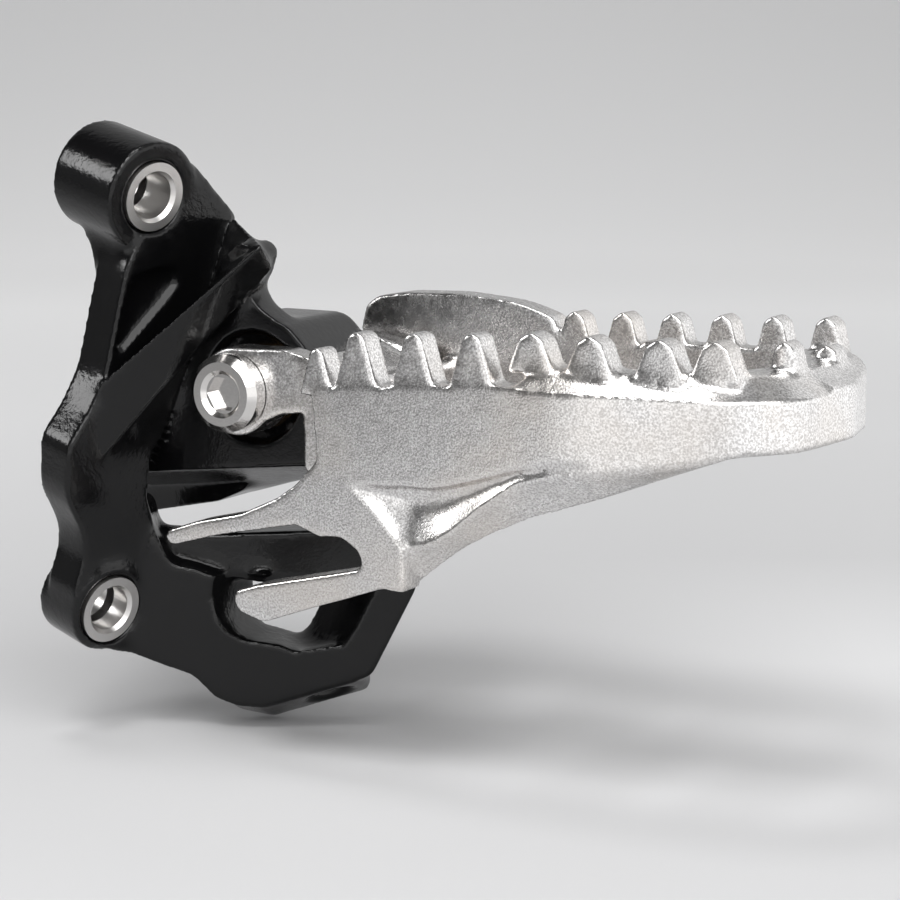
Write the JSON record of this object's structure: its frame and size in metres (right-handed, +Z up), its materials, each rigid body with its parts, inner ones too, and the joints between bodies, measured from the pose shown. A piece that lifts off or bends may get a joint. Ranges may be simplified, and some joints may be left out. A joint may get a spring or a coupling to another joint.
{
  "type": "folding motorcycle foot peg",
  "caption": "Toothed cast foot peg folding on a black cast frame bracket with collared mounting bosses, pivot bolt and a threaded foot.",
  "frame": {"origin": "middle of the upper mounting bore, on its axis", "axes": "+X outboard along the level peg, +Y along the fold pivot towards the frame's far side, +Z up"},
  "size_m": [0.1493, 0.0616, 0.1168],
  "materials": {
    "powder_coat": "gloss black powder coat with slight orange peel",
    "cast_aluminium": "bead-blasted investment casting, satin, fine grain",
    "polished_steel": "polished stainless steel",
    "plated_steel": "zinc-plated steel",
    "bearing_bronze": "oiled bronze",
    "turned_steel": "machined steel with fine turning marks"
  },
  "bodies": {
    "carrier": {"bracket": "powder_coat", "near_bush": "bearing_bronze", "far_bush": "bearing_bronze", "upper_collar_outer": "turned_steel", "upper_collar_inner": "turned_steel", "lower_collar_outer": "turned_steel", "lower_collar_inner": "turned_steel"},
    "foot_peg": {"peg": "cast_aluminium", "pivot_bolt": "polished_steel", "far_washer": "plated_steel", "pivot_nut": "plated_steel"}
  },
  "joints": [
    {"name": "fold", "type": "hinge", "parent": "carrier", "child": "foot_peg", "pos_m": [0.02315, 0.01819, -0.03717], "axis": [0, -1, 0], "range_deg": [0, 55]}
  ]
}
